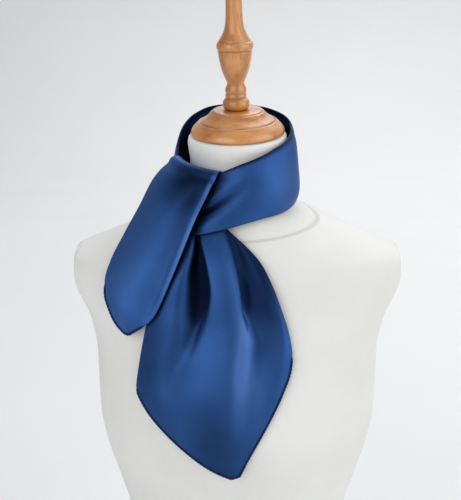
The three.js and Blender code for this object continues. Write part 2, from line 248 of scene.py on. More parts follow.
# Where the lines of the long tail's folds run, as x: the swell on the left, the floor of the deep fold and
# how far it goes in under the pleat, the pleat's left edge, crown and right edge, how far the cloth goes in
# under that edge, the recess beside it and the crest of the right panel
FOLD_LINES = table("down swell floor underLeft pleatLeft crown pleatRight underRight recess panel", [
    (0, -39, -36, -34, -33, -27, -21, -20, -18.5, -16),
    (20, -42, -39, -37.5, -37, -27, -18.5, -17.6, -16.5, -15),
    (38, -45, -41.5, -39, -39.5, -26, -15, -15.5, -14.6, -13.6),
    (50, -46, -41, -36, -37.5, -24, -10, -13, -7.5, -5.5),
    (62, -48, -39.5, -31, -34, -20, -5.8, -9.5, -2.5, 3.5),
    (80, -54, -40, -27, -30, -17, -2, -6.5, 2, 15),
    (100, -61, -38, -23.5, -27, -14, 2, -2, 6.5, 27),
    (124, -65, -41, -31, -30.5, -12, 5, 2.5, 9.5, 38),
    (134, -67, -42.5, -36.5, -32.5, -11, 7, 8, 12, 41),
    (145, -69, -46, -41, -35, -10.5, 7.4, 11.4, 16.5, 43),
    (160, -73, -52, -47.5, -40, -10, 7, 13.6, 21, 44),
    (176, -78, -63, -57, -48, -10, 5, 14.5, 23.5, 44),
    (193, -80, -67, -61, -51, -10, 4, 13, 21, 42),
    (218, -73, -61, -55, -44, -9, 3, 10, 17, 34),
    (240, -60, -49, -43, -34, -7, 3, 8, 13, 26),
    (263, -42, -34, -29, -22, -4, 3, 6.5, 9.5, 15),
    (284, -22, -17, -14, -10, -3, 1.5, 3.2, 5, 7.5),
    (299, -5, -4.2, -3.6, -3, -2.2, -1.2, -0.8, -0.3, 0.5),
])

# How far each line stands before the plain sheet
FOLD_HEIGHTS = table(
    "down left swell floor underLeft pleatLeft crown pleatRight underRight recess panel right", [
    (0, 0, 0, 0, 0, 0.6, 1, 0.6, 0, 0, 0, 0),
    (20, 0, 0.5, -0.3, 0, 1.4, 1.6, 1.2, 0, 0, 0, 0),
    (38, 0.5, 2.5, -1, 0, 3, 4, 4, 0.5, 0, 0.5, 0.5),
    (50, 1, 6.5, -3, -2.5, 8.5, 9, 8, 1, 0, 1, 1),
    (62, 1, 9, -3, -2.5, 12, 13.5, 11, 0, -1, 2, 1.5),
    (80, 1.5, 10, -3, -2.5, 14, 16, 12.5, -1.5, -2.5, 3, 2.5),
    (100, 2, 9.5, -2.6, -2.2, 13.5, 16.5, 12.5, -1.8, -2.6, 4.5, 3.5),
    (124, 2.5, 9, -1.4, -0.2, 10.6, 15, 10.6, 0.5, -1.8, 5.5, 4),
    (134, 2.5, 8.8, 0, 1, 9, 14, 9.8, 3.6, -0.2, 6, 4),
    (145, 2.5, 8.5, 2.2, 2.8, 8.2, 13.2, 9.4, 5.6, 1.8, 6.4, 4),
    (160, 2.5, 8, 4.5, 5, 8, 12.4, 9.3, 6.2, 3.3, 6.4, 3.8),
    (176, 2.5, 7.2, 5.3, 5.8, 7.9, 11.8, 9, 4.9, 3.8, 6.2, 3.5),
    (193, 2.2, 6.4, 5.3, 5.8, 7.3, 10.8, 8.4, 5.6, 4.3, 5.8, 3),
    (218, 1.8, 5, 4.5, 5, 6.2, 8.7, 7.4, 5.6, 4.6, 4.8, 2.5),
    (240, 1.5, 3.8, 3.5, 3.9, 4.8, 7, 6, 4.8, 4, 3.8, 2.2),
    (263, 1.2, 2.6, 2.4, 2.7, 3.3, 4.8, 4.2, 3.4, 3, 2.8, 1.8),
    (284, 1, 1.5, 1.5, 1.6, 1.9, 2.6, 2.3, 2, 1.8, 1.8, 1.4),
    (299, 1, 1, 1, 1, 1, 1.2, 1, 1, 1, 1, 1),
])

# The turned wood as radius and height above the neck's cut face
CAP_PROFILE = [
    (0, SEAT_GAP), (46.6, SEAT_GAP), (48.7, 0.9), (49.4, 2.6), (49, 5), (46.8, 8.6), (43.2, 12),
    (40.6, 14.4), (39.7, 13.3), (38.9, 13.5), (38.6, 15.2), (34, 17.6), (30.6, 20.4), (28.6, 23),
    (27.4, 23.9), (26.8, 23.8), (26.2, 25.2), (23.6, WOOD_TOP), (0, WOOD_TOP),
]
FINIAL_BASE = WOOD_TOP + SEAT_GAP
FINIAL_PROFILE = [
    (0, FINIAL_BASE), (11.6, FINIAL_BASE), (13.5, 28.3), (14.2, 31.8), (13.6, 35.4), (11.8, 37.5),
    (10.4, 38.4), (11.3, 40.8), (10.4, 43.3), (11.3, 46.2), (10.5, 49.2), (9, 52), (9, 54.2),
    (11.5, 60.3), (14, 66.6), (16.3, 76), (17.7, 86), (17.4, 88.2), (18.7, 89.3), (19.2, 92.5),
    (18.3, 95.2), (17.4, 96.4), (16.3, 97), (16.2, 98), (14.4, 100.9), (11.4, 106.1), (9.5, 112.5),
    (8.6, 122), (8.3, 137.5), (8.2, 146), (7, 149.4), (3.9, 151.4), (0, 151.8),
]


# Shapes

def between(places, values, at):
    """Smooth values between known ones, without overshooting them."""
    places, values = np.asarray(places, dtype=float), np.asarray(values, dtype=float)
    if places[0] > places[-1]:
        places, values = places[::-1], values[::-1]
    at = np.clip(at, places[0], places[-1])
    i = np.clip(np.searchsorted(places, at, side="right") - 1, 0, len(places) - 2)
    slope = np.diff(values) / np.diff(places)
    before, after = slope[:-1], slope[1:]
    same = before * after > 0
    middle = np.where(same, 2 * before * after / np.where(same, before + after, 1), 0)
    tangent = np.concatenate([slope[:1], middle, slope[-1:]])
    span = places[i + 1] - places[i]
    t = (at - places[i]) / span
    blend = t * t * (3 - 2 * t)
    leaving = t * (1 - t) ** 2 * span * tangent[i]
    arriving = t * t * (t - 1) * span * tangent[i + 1]
    return (1 - blend) * values[i] + blend * values[i + 1] + leaving + arriving


def looked_up(rows, at):
    """A function that gives a column's values at the places."""
    places = next(iter(rows.values()))
    return lambda name: between(places, rows[name], at)


def smoothstep(value, low, high):
    """0 up to low, rising smoothly to 1 at high."""
    t = np.clip((value - low) / (high - low), 0, 1)
    return t * t * (3 - 2 * t)


def fading(value, low, high):
    """1 up to low, falling smoothly to 0 at high."""
    return 1 - smoothstep(value, low, high)


def bell(off, spread):
    """1 at 0, falling softly on both sides."""
    return np.exp(-((off / spread) ** 2))


def highest(*values):
    """The highest of some arrays at each place."""
    return np.max(np.broadcast_arrays(*values), axis=0)


def unit(vectors):
    """The vectors at a length of 1."""
    return vectors / np.maximum(np.linalg.norm(vectors, axis=-1, keepdims=True), 1e-12)


def softened(grid, times, axis):
    """The grid with its bends along one axis eased, and its two ends kept."""
    grid = np.moveaxis(grid.copy(), axis, 0)
    for _ in range(times):
        grid[1:-1] = 0.25 * grid[:-2] + 0.5 * grid[1:-1] + 0.25 * grid[2:]
    return np.moveaxis(grid, 0, axis)


def edge_shares(width, offsets, count):
    """Shares across a row, with lines at the offsets from both edges and the rest spread evenly."""
    near = np.asarray(offsets) * min(1, 0.44 * width / offsets[-1]) / width
    middle = np.linspace(near[-1], 1 - near[-1], count)[1:-1]
    return np.concatenate([near, middle, 1 - near[::-1]])


def make_mesh(name, points, faces, material, cloth=None, painted_shading=None):
    """A new object from points in millimetres.

    cloth is each point's place in the flat cloth. hollow is its painted shade in a fold or groove, up to 1,
    or below 0 its painted highlight where the edge of a fold catches the light.
    """
    mesh = bpy.data.meshes.new(name)
    mesh.from_pydata((np.asarray(points) * MM).tolist(), [], faces)
    mesh.shade_smooth()
    if cloth is not None:
        corner = np.empty(len(mesh.loops), dtype=np.int32)
        mesh.loops.foreach_get("vertex_index", corner)
        layer = mesh.uv_layers.new(name="cloth")
        layer.data.foreach_set("uv", (np.asarray(cloth)[corner] * MM).ravel())
    if painted_shading is not None:
        mesh.attributes.new("painted_shading", "FLOAT", "POINT").data.foreach_set("value", np.asarray(painted_shading))
    mesh.materials.append(material)
    piece = bpy.data.objects.new(name, mesh)
    bpy.context.scene.collection.objects.link(piece)
    return piece


def quads(rows, around, closed=True):
    """Faces between rows of points, each row running the same way round."""
    columns = np.arange(around if closed else around - 1)
    start = np.arange(rows - 1)[:, None] * around
    a, b = start + columns, start + (columns + 1) % around
    return np.stack([a, a + around, b + around, b], axis=-1).reshape(-1, 4).tolist()


def tube(rings, around):
    """Faces of a tube of rings with both its ends closed."""
    last = (rings - 1) * around
    ends = [list(range(around)), [last + k for k in reversed(range(around))]]
    return quads(rings, around) + ends


def circle(sides):
    """Cosine and sine at even steps once round."""
    angle = np.linspace(0, 2 * math.pi, sides, endpoint=False)
    return np.stack([np.cos(angle), np.sin(angle)], axis=-1)


def lengths(line):
    """How far along a line of points each of them is."""
    return np.concatenate([[0], np.cumsum(np.linalg.norm(np.diff(line, axis=0), axis=1))])


def at_lengths(line, places, values=None):
    """Points of a line at distances along it, or the values there that go with its points."""
    values = line if values is None else values
    along = lengths(line)
    return np.stack([np.interp(places, along, column) for column in values.T], axis=-1)


def fold_depth(row, reach):
    """How far each point of a row lies behind the higher cloth that stands on both its sides."""
    x, out = row[:, 0], -row[:, 1]
    apart = x[None, :] - x[:, None]
    left = np.where((apart <= 0) & (apart > -reach), out[None, :], -np.inf).max(axis=1)
    right = np.where((apart >= 0) & (apart < reach), out[None, :], -np.inf).max(axis=1)
    return np.minimum(left, right) - out


def beside_short_tail(points, reach):
    """Where the short tail's painted shadow falls: 1 under and beside its right edge, falling to 0 at a
    distance from it.
    """
    edge = between(SHORT_TAIL["rightZ"], SHORT_TAIL["rightX"], points[..., 2])
    front = smoothstep(-points[..., 1], 20, 40)
    return front * fading(points[..., 0] - edge, 0.15 * reach, reach)


def shell(name, grid, half, cloth, material, painted_shading, inside):
    """Thin closed cloth round a grid of middle points, rounded along all its edges.

    half is half the thickness at each point, cloth each point's place in the flat cloth and hollow its
    painted shade and painted highlight, and inside is the painted shade of each column on the side that is
    turned away.
    """
    arc, end_turns = 5, (0.55, 1.1, 1.5)
    down, side = unit(np.gradient(grid, axis=0)), unit(np.gradient(grid, axis=1))
    normal = unit(np.cross(down, side))
    rows = list(zip(grid, half, side, normal, cloth, painted_shading))
    # Three more rows round off each end
    for turn in end_turns:
        lip = math.cos(turn)
        out = math.sin(turn) * half[0][:, None] * down[0]
        rows.insert(0, (grid[0] - out, half[0] * lip, side[0], normal[0], cloth[0], painted_shading[0]))
        out = math.sin(turn) * half[-1][:, None] * down[-1]
        rows.append((grid[-1] + out, half[-1] * lip, side[-1], normal[-1], cloth[-1], painted_shading[-1]))
    angles = np.linspace(math.pi / 2, -math.pi / 2, arc + 2)[1:-1]
    bend = np.stack([np.cos(angles), np.sin(angles)], axis=1)
    share = np.linspace(0, 1, arc + 2)[1:-1]
    points, places, depths = [], [], []
    for middle, thick, across, out, place, depth in rows:
        thick = thick[:, None]
        right = middle[-1] + thick[-1] * (bend[:, :1] * across[-1] + bend[:, 1:] * out[-1])
        left = middle[0] + thick[0] * (-bend[::-1, :1] * across[0] + bend[::-1, 1:] * out[0])
        points.append(np.concatenate([middle + thick * out, right, (middle - thick * out)[::-1], left]))
        right, left = np.repeat(place[-1:], arc, 0), np.repeat(place[:1], arc, 0)
        places.append(np.concatenate([place, right, place[::-1], left]))
        right = depth[-1] + (inside[-1] - depth[-1]) * share
        left = inside[0] + (depth[0] - inside[0]) * share
        depths.append(np.concatenate([depth, right, inside[::-1], left]))
    columns, around = grid.shape[1], 2 * (grid.shape[1] + arc)
    faces = quads(len(rows), around)
    inner = [columns + arc + columns - 1 - i for i in range(columns)]
    for first, top in ((0, True), ((len(rows) - 1) * around, False)):
        ends = [[i, i + 1, inner[i + 1], inner[i]] for i in range(columns - 1)]
        ends.append([columns - 1, *range(columns, columns + arc), inner[-1]])
        ends.append([*range(around - arc, around), 0, inner[0]])
        faces += [[first + k for k in (face if top else face[::-1])] for face in ends]
    points, places, depths = np.concatenate(points), np.concatenate(places), np.concatenate(depths)
    return make_mesh(name, points, faces, material, places, depths)


def fold_relief(along, across, folds):
    """Height of soft ridges and troughs, each strongest near its start."""
    height = np.zeros(np.broadcast(along, across).shape)
    for a0, c0, a1, c1, high, spread in folds:
        run = math.hypot(a1 - a0, c1 - c0)
        share = ((along - a0) * (a1 - a0) + (across - c0) * (c1 - c0)) / run**2
        off = ((along - a0) * (c1 - c0) - (across - c0) * (a1 - a0)) / run
        strength = np.sin(math.pi * np.clip(share, 0, 1) ** 0.45)
        height += high * strength * bell(off, spread)
    return height


def edge_fullness(share, width, hemmed_left, hemmed_right):
    """What is added to the half thickness near a row's edges, folded or hemmed."""
    extra = np.zeros(len(share))
    for offset, hemmed in ((share * width, hemmed_left), ((1 - share) * width, hemmed_right)):
        folded = FOLD_ROLL * fading(offset, 0, FOLD_ROLL_WIDTH)
        edge = HEM_EDGE_FULLNESS * fading(offset, 0.4, 1.6)
        band = HEM_FULLNESS * fading(offset, HEM_WIDTH - 0.5, HEM_WIDTH + 0.4)
        groove = HEM_GROOVE * bell(offset - HEM_WIDTH + 0.6, 0.45)
        extra += (1 - hemmed) * folded + hemmed * (edge + band - groove)
    return extra


def tail_half(down, share, width, corners):
    """Half the thickness along a row of a tail, whose hem starts at a corner on each side."""
    hems = [smoothstep(down, corner - HEM_START, corner + HEM_START) for corner in corners]
    return TAIL_HALF + edge_fullness(share, width, *hems)


def flat_row(down, share, width):
    """Where the points of a row lie in the flat cloth."""
    return np.stack([0 * share + down, share * width], axis=-1)


def loop_shade(grid, turn, rise, relief):
    """Painted shade on the band: in its troughs, beside the short tail, at its top edge and by the knot, less
    a painted highlight on its swell.
    """
    trough = smoothstep(-relief, 0.3, 3.2)
    by_tail = 0.95 * beside_short_tail(grid, 21) * (turn < -300)
    top_edge = 0.9 * fading(1 - rise, 0, 0.07)
    by_knot = 0.28 * fading(turn, -395, -325)
    lit_swell = 0.5 * bell(turn + 305, 22) * bell(rise - 0.5, 0.3)
    return highest(trough, by_tail, top_edge, by_knot) - lit_swell


def make_loop(material):
    """The band round the neck, from its top edge to its lower edge."""
    rows, columns = 380, 44
    turn = np.linspace(LOOP["turn"][0], LOOP["turn"][-1], rows)[:, None]
    rise = 1 - edge_shares(LOOP_HEIGHT, LOOP_EDGE_LINES, columns)[None, :]
    value = looked_up(LOOP, turn)
    along, up = LOOP_ARC * turn, LOOP_HEIGHT * rise
    folds = np.array(LOOP_FOLDS) * (LOOP_ARC, LOOP_HEIGHT, LOOP_ARC, LOOP_HEIGHT, 1, 1)
    relief = fold_relief(along, up, folds)
    chord = value("footRadius") + (value("topRadius") - value("footRadius")) * rise
    swell = value("swellRadius") - (value("footRadius") + value("topRadius")) / 2
    radius = chord + swell * (1 - np.abs(2 * rise - 1) ** value("roll")) + relief
    height = value("foot") + (value("top") - value("foot")) * rise
    angle = np.radians(turn)
    grid = np.stack([radius * np.sin(angle), -radius * np.cos(angle), height], axis=-1)
    grid = softened(softened(grid, 10, 0), 2, 1)
    painted_shading = loop_shade(grid, turn, rise, relief)
    # Painted shade on the band's inner side: dark at its top edge, lighter just below it and darkest further
    # down
    below = 1 - rise[0]
    inside = 0.5 + 0.4 * fading(below, 0, 0.08) + 0.48 * smoothstep(below, 0.08, 0.4)
    places = np.stack(np.broadcast_arrays(-along, up), axis=-1)
    half = np.broadcast_to(BAND_HALF + edge_fullness(below, LOOP_HEIGHT, 0, 0), grid.shape[:2])
    return shell("silk_neck_loop", grid, half, places, material, painted_shading, inside)


def beside_edge(share):
    """1 along the short tail's valley beside its right edge, falling to 0 on both sides."""
    off = share - VALLEY_MIDDLE
    return bell(off, np.where(off < 0, VALLEY_LEFT, VALLEY_RIGHT))


def short_tail_row(down, share):
    """Points of the short tail; below 0, down runs back over the turnover and inside the loop."""
    value = looked_up(SHORT_TAIL, max(down, 0))
    left = np.array([value("leftX"), value("leftY"), value("leftZ")])
    right = np.array([value("rightX"), value("rightY"), value("rightZ")])
    outward = unit(np.array([right[1] - left[1], left[0] - right[0], 0]))
    bow = value("crown") * 4 * share * (1 - share) - value("valley") * beside_edge(share)
    row = left + (right - left) * share[:, None] + outward * bow[:, None]
    if down >= 0:
        return row
    radial = unit(row * (1, 1, 0))
    sideways = np.stack([-radial[:, 1], radial[:, 0], 0 * radial[:, 0]], axis=-1)
    angle = min(-down / TURNOVER_RADIUS, math.pi)
    straight = max(-down - math.pi * TURNOVER_RADIUS, 0)
    row = row + sideways * TURNOVER_SKEW * angle * TURNOVER_RADIUS
    row = row + radial * TURNOVER_RADIUS * (math.cos(angle) - 1)
    return row + (0, 0, TURNOVER_RADIUS * math.sin(angle) - straight)


def short_tail_shade(down, share):
    """Painted shade on a row of the short tail in its valley and below the turnover, less painted highlight
    on its right edge and its left half.
    """
    tone = looked_up(SHORT_TAIL_TONES, down)
    valley = tone("valley") * beside_edge(share)
    crest = tone("crest") * smoothstep(share, 0.05, 0.5) * fading(share, 0.92, 1)
    lit = tone("lit") * smoothstep(share, 0.93, 0.985) + 0.32 * fading(share, 0.35, 0.65)
    return np.maximum(valley, crest) - lit


def make_short_tail(material):
    """The end that rolls over the loop's top edge and falls on the left."""
    inside_rows, rows, columns = 56, 150, 44
    start = -(math.pi * TURNOVER_RADIUS + TURNOVER_INSIDE)
    inside = np.linspace(start, 0, inside_rows)[:-1]
    outside = np.linspace(0, SHORT_TAIL["down"][-1], rows)
    grid, half, places, painted_shading = [], [], [], []
    for down in np.concatenate([inside, outside]):
        ends = short_tail_row(down, np.array([0.0, 1.0]))
        width = np.linalg.norm(ends[1] - ends[0])
        share = edge_shares(width, EDGE_LINES, columns)
        grid.append(short_tail_row(down, share))
        half.append(tail_half(down, share, width, SHORT_TAIL_CORNERS))
        places.append(flat_row(down, share, width))
        painted_shading.append(short_tail_shade(down, share))
    grid, half = softened(np.array(grid), 6, 0), np.array(half)
    turned_away = np.full(grid.shape[1], INSIDE_SHADE)
    tail = shell("silk_short_tail", grid, half, np.array(places), material, np.array(painted_shading), turned_away)
    return tail, grid, half


def chest_depth(x, z):
    """Depth of the form's front surface before the neck's axis."""
    value = looked_up(BODY, z)
    wide, front, power = value("wide"), value("front"), value("power")
    return front * (1 - np.minimum(1, np.abs(x) / wide) ** power) ** (1 / power)


def long_tail_row(down):
    """The long tail's line across itself, a distance down from its root."""
    fine_points = 1500
    edge = looked_up(LONG_TAIL, down)
    line, high = looked_up(FOLD_LINES, down), looked_up(FOLD_HEIGHTS, down)
    xs = [edge("leftX"), *(line(name) for name in list(FOLD_LINES)[1:]), edge("rightX")]
    heights = [high(name) for name in list(FOLD_HEIGHTS)[1:]]
    knots, fine = np.linspace(0, 1, len(xs)), np.linspace(0, 1, fine_points)
    x = between(knots, xs, fine)
    share = (x - xs[0]) / (xs[-1] - xs[0])
    z = edge("leftZ") + (edge("rightZ") - edge("leftZ")) * share
    lying = chest_depth(x, np.clip(z, *CHEST_HEIGHTS)) + edge("lift") + between(knots, heights, fine)
    return np.stack([x, -lying, z], axis=-1)


def long_tail_shade(grid, downs):
    """Painted shade on each point of the long tail, less painted highlight on the pleat's right edge and low
    beside it.

    Most painted shades follow a line of the folds; the others lie at their own heights and places.
    """
    x, z = grid[..., 0], grid[..., 2]
    line = looked_up(FOLD_LINES, downs[:, None])
    past_pleat = x - line("pleatRight")
    right_of_fold = smoothstep(x, -50, -40)
    fold = smoothstep(np.array([fold_depth(row, FOLD_REACH) for row in grid]), 0, FOLD_DARK)
    by_short_tail = 0.95 * beside_short_tail(grid, 9)
    tip = fading(z, 360, 440) * (0.12 + 0.4 * bell(x + 24, 30))
    left_side = (0.38 - 0.12 * fading(z, 390, 430)) * fading(z, 450, 500) * fading(x, -72, -30)
    panel = smoothstep(x - line("underRight"), -1.5, 2.5) * fading(past_pleat, 24, 46)
    panel *= (0.8 - 0.3 * fading(z, 462, 485)) * smoothstep(z, 415, 462)
    fold_end = smoothstep(x - line("floor"), -16, -2) * smoothstep(line("pleatLeft") - x, 1, 5)
    fold_end *= 0.66 * fading(z, 488, 505) * smoothstep(z, 425, 470)
    upper = (0.22 - 0.08 * right_of_fold) * smoothstep(z, 460, 500)
    upper *= 1 - right_of_fold * smoothstep(z, 505, 555)
    lit_edge = 0.66 * bell(past_pleat + 3.5, 6.5) * fading(z, 510, 560)
    lit_edge += 0.9 * bell(past_pleat + 0.5, 5.5 + 3 * fading(z, 430, 465)) * fading(z, 460, 490)
    lit_edge *= smoothstep(z, 350, 440)
    lit_foot = 0.35 * bell(x - 17, 11) * fading(z, 415, 450) * smoothstep(z, 350, 405)
    return highest(fold, by_short_tail, tip, left_side, panel, fold_end, upper) - lit_edge - lit_foot


def make_long_tail(material):
    """The end that hangs in front, with its pleat and deep fold."""
    rows, columns = 200, 130
    edge_lines = np.array(EDGE_LINES) * LONG_TAIL_HEM_SCALE
    downs = np.linspace(0, LONG_TAIL["down"][-1], rows)
    grid, half, places = [], [], []
    for down in downs:
        line = long_tail_row(down)
        width = lengths(line)[-1]
        share = edge_shares(width, edge_lines, columns)
        grid.append(at_lengths(line, share * width))
        half.append(tail_half(down, share, width / LONG_TAIL_HEM_SCALE, LONG_TAIL_CORNERS))
        places.append(flat_row(down, share, width))
    grid, half = softened(softened(np.array(grid), 5, 0), 2, 1), np.array(half)
    across = np.linspace(0, 1, grid.shape[1])[:, None]
    off_edges = smoothstep(np.minimum(across, 1 - across), 0.08, 0.2)
    grid = grid + off_edges * (softened(grid, 14, 0) - grid)
    painted_shading = softened(long_tail_shade(grid, downs), 3, 0)
    turned_away = np.full(grid.shape[1], INSIDE_SHADE)
    tail = shell("silk_long_tail", grid, half, np.array(places), material, painted_shading, turned_away)
    return tail, grid, half


def sheet_normals(grid):
    """The outward direction of a sheet at each of its points."""
    return unit(np.cross(np.gradient(grid, axis=0), np.gradient(grid, axis=1)))


def corner_rows(grid, tops):
    """The rows of a tail where its hem starts, on the left and on the right."""
    heights = grid[:, STITCH_COLUMNS, 2]
    return [int(row) for row in np.argmin(np.abs(heights - tops), axis=0)]


def stitch_lines(grid, half, rows):
    """The outer surface under a tail's stitches, on the left and on the right, and the normals there."""
    normal = sheet_normals(grid)
    surface = grid + normal * half[:, :, None]
    return [(surface[row:, column], normal[row:, column]) for row, column in zip(rows, STITCH_COLUMNS)]


def hem_path(grid, left_row, right_row):
    """A tail's edge from its left corner round the tip to its right corner, and the normals there."""
    sheets = grid, sheet_normals(grid)
    return [np.concatenate([p[left_row:, 0], p[-1, 1:-1], p[right_row:, -1][::-1]]) for p in sheets]


def make_stitches(name, lines, material):
    """Small threads along the hems, each dipping into the cloth at both its ends."""
    along_thread = np.array([0, 0.25, 0.75, 1])
    above_cloth = (-0.25, 0.1, 0.1, -0.25)
    ring = circle(6)
    points, faces = [], []
    for line, normals in lines:
        last_start = lengths(line)[-1] - STITCH_MARGIN - STITCH_LENGTH
        for start in np.arange(STITCH_MARGIN, last_start, STITCH_PITCH):
            spots = start + STITCH_LENGTH * along_thread
            middle, up = at_lengths(line, spots), unit(at_lengths(line, spots, normals))
            across = unit(np.cross(up, middle[-1] - middle[0]))
            first = len(points)
            for spot, normal, side, high in zip(middle, up, across, above_cloth):
                centre = spot + high * normal
                points += [centre + STITCH_RADIUS * (c * side + s * normal) for c, s in ring]
            faces += [[first + k for k in face] for face in tube(len(spots), len(ring))]
    return make_mesh(name, points, faces, material)


def make_hem(name, line, normals, material):
    """The slim roll of cloth along a hemmed edge, puckered by its stitches and tapered at both its ends."""
    ring = circle(12)
    spots = np.arange(0, lengths(line)[-1], HEM_ROLL_STEP)
    middle, up = at_lengths(line, spots), unit(at_lengths(line, spots, normals))
    across = unit(np.cross(up, np.gradient(middle, axis=0)))
    place = np.arange(len(spots))
    taper = smoothstep(np.minimum(place, place[::-1]), -2, 7)
    radius = HEM_ROLL_RADIUS * taper * (1 + HEM_PUCKER * np.sin(2.1 * place))
    points = []
    for k in place:
        centre = middle[k] + HEM_ROLL_LIFT * up[k]
        points += [centre + radius[k] * (c * across[k] + s * up[k]) for c, s in ring]
    return make_mesh(name, points, tube(len(spots), len(ring)), material)


def squared(value, power):
    """A ring's sine or cosine, bent towards a rounded square as power rises above 2."""
    return np.sign(value) * np.abs(value) ** (2 / power)


def make_torso(material):
    """The covered form, with soft edges at its underside, arm plates and neck."""
    around, rim, step = 240, 2.5, 2.5
    bends = np.linspace(0, math.pi / 2, 6)
    low = [(rim - rim * math.sin(b), rim - rim * math.cos(b)) for b in bends[::-1]]
    body = [(z, 0) for z in np.arange(rim + step, NECK_TOP - rim - 1, step)]
    high = [(NECK_TOP - rim + rim * math.sin(b), rim - rim * math.cos(b)) for b in bends]
    ahead, aside = circle(around).T
    rings = []
    for z, inset in [*low, *body, *high]:
        value = looked_up(BODY, z)
        x = value("wide") * squared(aside, value("power"))
        y = -np.where(ahead > 0, value("front"), value("back")) * squared(ahead, value("power"))
        keep = 1 - inset / np.hypot(x, y)
        x, y = x * keep, y * keep
        lean = smoothstep(z, NECK_FOOT, NECK_TOP)
        rise = y * math.tan(NECK_LEAN) + x * math.tan(NECK_LEAN_LEFT) / math.cos(NECK_LEAN)
        # The arm plates cut the shoulders off, with a soft edge
        past = np.clip((np.abs(x) - ARM_PLATE) / ARM_PLATE_EDGE, -30, 30)
        x = np.sign(x) * (np.abs(x) - np.log1p(np.exp(past)) * ARM_PLATE_EDGE)
        rings.append(np.stack([x, y, z + lean * rise], axis=-1))
    return make_mesh("form_cover", np.concatenate(rings), tube(len(rings), around), material)


def rounded(profile):
    """A turned profile with its corners cut twice, and its ends kept."""
    line, cut_off = np.array(profile, dtype=float), 0.22
    for _ in range(2):
        near = line[:-1] * (1 - cut_off) + line[1:] * cut_off
        far = line[:-1] * cut_off + line[1:] * (1 - cut_off)
        cut = np.stack([near, far], axis=1).reshape(-1, 2)
        line = np.concatenate([line[:1], cut[1:-1], line[-1:]])
    return line


def on_neck(points):
    """Points of the turned wood, carried from level to the neck's leaning cut face."""
    cos, sin = math.cos(NECK_LEAN), math.sin(NECK_LEAN)
    about_x = np.array([[1, 0, 0], [0, cos, -sin], [0, sin, cos]])
    cos, sin = math.cos(-NECK_LEAN_LEFT), math.sin(-NECK_LEAN_LEFT)
    about_y = np.array([[cos, 0, sin], [0, 1, 0], [-sin, 0, cos]])
    return points @ (about_x @ about_y).T + (0, 0, NECK_TOP)


def make_turned(name, profile, shift, material):
    """Turned wood on the neck's cut face, with painted shade where its profile bends inwards."""
    around, step = 120, 0.45
    line = rounded(profile)[1:-1]
    line = at_lengths(line, np.arange(0, lengths(line)[-1], step))
    run = unit(np.gradient(line, axis=0))
    bend = np.gradient(np.unwrap(np.arctan2(run[:, 1], run[:, 0])))
    # Painted shade in the grooves, where the profile bends inwards
    groove = smoothstep(softened(-bend, 2, 0), 0.03, 0.2)
    ring = circle(around)
    points = [np.column_stack([r * ring + (shift, 0), np.full(around, h)]) for r, h in line]
    faces = [face[::-1] for face in tube(len(line), around)]
    return make_mesh(name, on_neck(np.concatenate(points)), faces, material, painted_shading=np.repeat(groove, around))


# Materials, with their colours as linear red, green, blue and alpha

NAVY = (0.028, 0.09, 0.28, 1)
NAVY_CLOUD = (0.033, 0.104, 0.315, 1)
NAVY_SLUB = (0.05, 0.135, 0.38, 1)
NAVY_LIT = (0.075, 0.175, 0.46, 1)
NAVY_PAINTED_SHADE = (0.0015, 0.004, 0.018, 1)
# The hem's colours are painted darker than the silk for the shade along its rolled edge
HEM_DARK = (0.004, 0.012, 0.05, 1)
HEM_LIGHT = (0.014, 0.04, 0.13, 1)
THREAD_DARK = (0.008, 0.022, 0.085, 1)
THREAD_LIGHT = (0.03, 0.07, 0.2, 1)
COTTON = (0.81, 0.8, 0.765, 1)
COTTON_LIGHT = (0.87, 0.862, 0.835, 1)
COTTON_SHADE = (0.66, 0.65, 0.61, 1)
WOOD = (0.66, 0.265, 0.056, 1)
WOOD_DARK = (0.43, 0.14, 0.022, 1)
WOOD_PALE = (0.72, 0.34, 0.1, 1)
WOOD_FLECK = (0.26, 0.1, 0.025, 1)
WOOD_PAINTED_SHADE = (0.11, 0.035, 0.008, 1)
PAPER = (0.84, 0.845, 0.85, 1)
PAPER_LIGHT = (0.88, 0.885, 0.89, 1)
SKY = (0.93, 0.96, 1, 1)

# The seam at the foot of the neck, in metres: its height at the sides, and how far it rises behind and drops
# in front
SEAM_HEIGHT = 0.5685
SEAM_RISE = 0.0195


class Surface:
    """A node material, built one node at a time."""

    def __init__(self, name):
        self.material = bpy.data.materials.new(name)
        self.material.use_nodes = True
        self.tree = self.material.node_tree
        self.shader = self.tree.nodes["Principled BSDF"]

    def node(self, kind, inputs=None, output=0, **settings):
        """The output socket of a new node, with its inputs set or linked."""
        made = self.tree.nodes.new("ShaderNode" + kind)
        for name, value in settings.items():
            setattr(made, name, value)
        self.fill(made, inputs or {})
        return made.outputs[output]

    def fill(self, made, inputs):
        for name, value in inputs.items():
            if isinstance(value, bpy.types.NodeSocket):
                self.tree.links.new(value, made.inputs[name])
            else:
                made.inputs[name].default_value = value

    def maths(self, operation, a, b=0.0, c=0.0):
        return self.node("Math", {0: a, 1: b, 2: c}, operation=operation)

    def ramp(self, value, low, high, to_low=0.0, to_high=1.0):
        """A value carried smoothly from one range to another."""
        inputs = {"Value": value, "From Min": low, "From Max": high, "To Min": to_low, "To Max": to_high}
        return self.node("MapRange", inputs, interpolation_type="SMOOTHSTEP")

    def mixed(self, share, a, b):
        return self.node("Mix", {0: share, 6: a, 7: b}, output=2, data_type="RGBA")

    def finish(self, **inputs):
        self.fill(self.shader, {name.replace("_", " "): value for name, value in inputs.items()})
        return self.material


